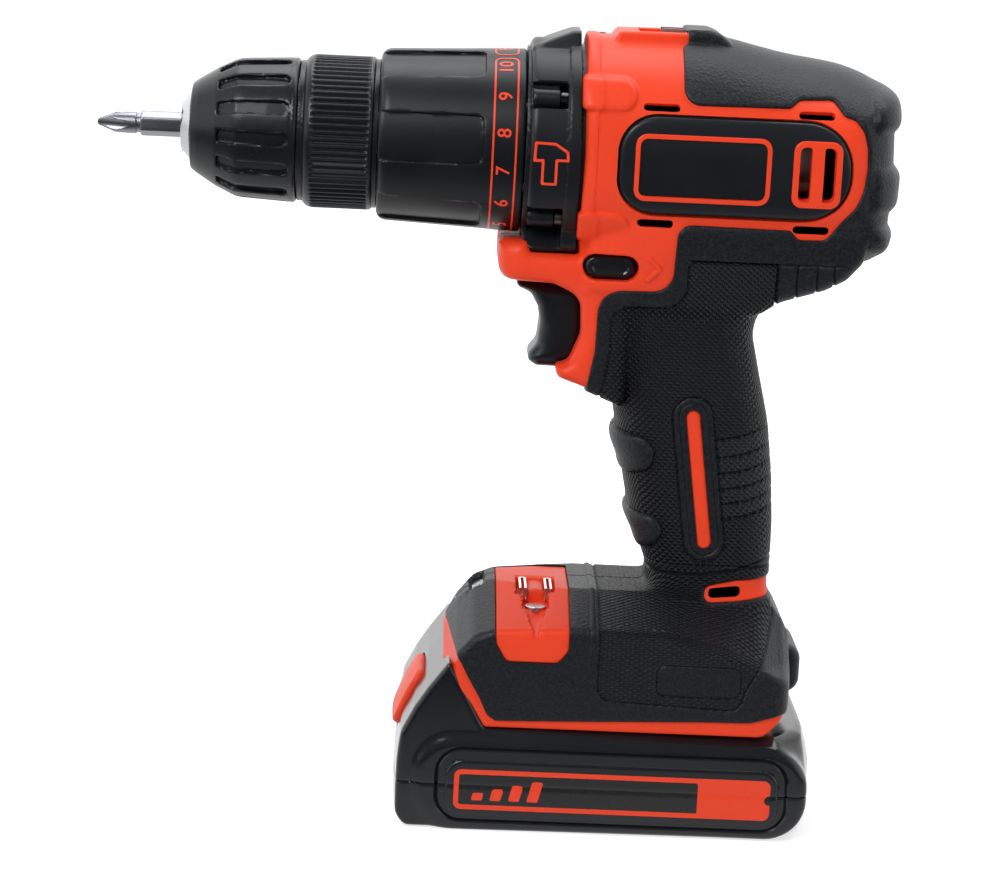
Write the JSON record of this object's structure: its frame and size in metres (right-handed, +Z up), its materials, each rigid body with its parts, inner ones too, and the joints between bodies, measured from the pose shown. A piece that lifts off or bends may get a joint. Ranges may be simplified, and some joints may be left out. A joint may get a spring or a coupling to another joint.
{
  "type": "cordless hammer drill",
  "caption": "Pistol-grip cordless hammer drill with keyless chuck, torque collar, planetary gears, brush motor and slide-on battery pack.",
  "frame": {"origin": "middle of the flat base of the battery pack, on the surface that the drill stands on", "axes": "+X from the chuck to the back of the motor, +Y to the user's right, +Z up"},
  "size_m": [0.2259, 0.074, 0.2246],
  "materials": {
    "orange_plastic": "moulded nylon with a fine satin texture",
    "overmould": "soft textured elastomer",
    "black_plastic": "satin moulded glass-filled nylon",
    "gloss_black": "glossy moulded plastic",
    "steel": "turned and ground steel",
    "dark_steel": "blackened steel",
    "zinc_can": "zinc-plated drawn steel",
    "bronze": "oil-filled sintered bronze",
    "contact_brass": "brass contact strip",
    "copper_winding": "enamelled copper winding on a steel core",
    "carbon": "pressed carbon",
    "lens": "clear moulded lens",
    "wire": "flexible wire insulation",
    "cell_sleeve": "shrink sleeve"
  },
  "bodies": {
    "root": {"housing_left": "orange_plastic", "housing_right": "orange_plastic", "overmould_left": "overmould", "overmould_right": "overmould", "side_panels": "black_plastic", "vent_louvres": "orange_plastic", "grip_strips": "orange_plastic", "housing_screws": "dark_steel", "gearcase": "black_plastic", "gearcase_screws": "dark_steel", "clutch_spring": "steel", "clutch_washer": "steel", "clutch_pins": "steel", "ring_gear": "steel", "spindle_bearing": "steel", "spindle_bush": "bronze", "motor_can": "zinc_can", "motor_end_cap": "black_plastic", "motor_brushes": "carbon", "trigger_spring": "steel", "switch_module": "black_plastic", "work_light": "lens", "foot_insert": "orange_plastic", "bit_clip": "steel", "top_clip": "steel", "terminal_block": "black_plastic", "wiring": "wire"},
    "chuck": {"spindle": "steel", "output_carrier": "steel", "chuck_body": "steel", "chuck_ring": "black_plastic", "chuck_screw": "dark_steel"},
    "stage_one": {"first_carrier": "steel"},
    "wheel_1a": {"planet_1a": "steel"},
    "wheel_1b": {"planet_1b": "steel"},
    "wheel_1c": {"planet_1c": "steel"},
    "wheel_2a": {"planet_2a": "steel"},
    "wheel_2b": {"planet_2b": "steel"},
    "wheel_2c": {"planet_2c": "steel"},
    "armature": {"motor_pinion": "steel", "motor_shaft": "steel", "armature_core": "copper_winding", "commutator": "copper_winding", "motor_fan": "black_plastic"},
    "sleeve": {"chuck_sleeve": "black_plastic", "chuck_nut": "steel"},
    "jaw_a": {"chuck_jaw_a": "dark_steel"},
    "jaw_b": {"chuck_jaw_b": "dark_steel"},
    "jaw_c": {"chuck_jaw_c": "dark_steel"},
    "bit": {"screwdriver_bit": "dark_steel"},
    "collar": {"torque_collar": "black_plastic", "clutch_nut": "black_plastic"},
    "trigger": {"trigger": "black_plastic"},
    "selector": {"direction_selector": "gloss_black"},
    "battery": {"battery_lower": "gloss_black", "battery_upper": "gloss_black", "battery_cells": "cell_sleeve", "battery_contacts": "contact_brass"},
    "release": {"release_button": "orange_plastic"}
  },
  "joints": [
    {"name": "spindle_turn", "type": "hinge", "parent": "root", "child": "chuck", "pos_m": [0, 0, 0.191], "axis": [1, 0, 0], "continuous": true},
    {"name": "stage_one_turn", "type": "hinge", "parent": "root", "child": "stage_one", "pos_m": [0, 0, 0.191], "axis": [1, 0, 0], "continuous": true},
    {"name": "armature_turn", "type": "hinge", "parent": "root", "child": "armature", "pos_m": [0, 0, 0.191], "axis": [1, 0, 0], "continuous": true},
    {"name": "wheel_1a_turn", "type": "hinge", "parent": "stage_one", "child": "wheel_1a", "pos_m": [-0.0045, 0, 0.179], "axis": [1, 0, 0], "continuous": true},
    {"name": "wheel_1b_turn", "type": "hinge", "parent": "stage_one", "child": "wheel_1b", "pos_m": [-0.0045, 0.01039, 0.197], "axis": [1, 0, 0], "continuous": true},
    {"name": "wheel_1c_turn", "type": "hinge", "parent": "stage_one", "child": "wheel_1c", "pos_m": [-0.0045, -0.01039, 0.197], "axis": [1, 0, 0], "continuous": true},
    {"name": "wheel_2a_turn", "type": "hinge", "parent": "chuck", "child": "wheel_2a", "pos_m": [-0.0157, 0, 0.179], "axis": [1, 0, 0], "continuous": true},
    {"name": "wheel_2b_turn", "type": "hinge", "parent": "chuck", "child": "wheel_2b", "pos_m": [-0.0157, 0.01039, 0.197], "axis": [1, 0, 0], "continuous": true},
    {"name": "wheel_2c_turn", "type": "hinge", "parent": "chuck", "child": "wheel_2c", "pos_m": [-0.0157, -0.01039, 0.197], "axis": [1, 0, 0], "continuous": true},
    {"name": "sleeve_turn", "type": "hinge", "parent": "chuck", "child": "sleeve", "pos_m": [0, 0, 0.191], "axis": [1, 0, 0], "range_deg": [0, 2160]},
    {"name": "jaw_a_slide", "type": "slide", "parent": "chuck", "child": "jaw_a", "axis": [0.9659, 0, -0.2588], "range_m": [0, 0.012]},
    {"name": "jaw_b_slide", "type": "slide", "parent": "chuck", "child": "jaw_b", "axis": [0.9659, 0.2241, 0.1294], "range_m": [0, 0.012]},
    {"name": "jaw_c_slide", "type": "slide", "parent": "chuck", "child": "jaw_c", "axis": [0.9659, -0.2241, 0.1294], "range_m": [0, 0.012]},
    {"name": "bit_pull", "type": "slide", "parent": "chuck", "child": "bit", "axis": [-1, 0, 0], "range_m": [0, 0.03]},
    {"name": "collar_turn", "type": "hinge", "parent": "root", "child": "collar", "pos_m": [0, 0, 0.191], "axis": [-1, 0, 0], "range_deg": [-24, 264]},
    {"name": "trigger_pull", "type": "slide", "parent": "root", "child": "trigger", "axis": [1, 0, 0], "range_m": [0, 0.006], "stiffness_N_per_m": 900, "springref_m": -0.004, "deforming": ["trigger_spring"]},
    {"name": "selector_slide", "type": "slide", "parent": "root", "child": "selector", "axis": [0, 1, 0], "range_m": [-0.003, 0.003]},
    {"name": "battery_slide", "type": "slide", "parent": "root", "child": "battery", "axis": [-1, 0, 0], "range_m": [0, 0.12]},
    {"name": "release_press", "type": "slide", "parent": "battery", "child": "release", "axis": [0.9409, 0, -0.3387], "range_m": [0, 0.0025], "stiffness_N_per_m": 2500, "springref_m": -0.002}
  ],
  "couplings": [
    {"joint": "stage_one_turn", "follows": "spindle_turn", "ratio": 5},
    {"joint": "armature_turn", "follows": "spindle_turn", "ratio": 25},
    {"joint": "wheel_1a_turn", "follows": "spindle_turn", "ratio": -13.333},
    {"joint": "wheel_1b_turn", "follows": "spindle_turn", "ratio": -13.333},
    {"joint": "wheel_1c_turn", "follows": "spindle_turn", "ratio": -13.333},
    {"joint": "wheel_2a_turn", "follows": "spindle_turn", "ratio": -2.6667},
    {"joint": "wheel_2b_turn", "follows": "spindle_turn", "ratio": -2.6667},
    {"joint": "wheel_2c_turn", "follows": "spindle_turn", "ratio": -2.6667},
    {"joint": "jaw_a_slide", "follows": "sleeve_turn", "m_per_rad": 0.00031831},
    {"joint": "jaw_b_slide", "follows": "sleeve_turn", "m_per_rad": 0.00031831},
    {"joint": "jaw_c_slide", "follows": "sleeve_turn", "m_per_rad": 0.00031831}
  ]
}
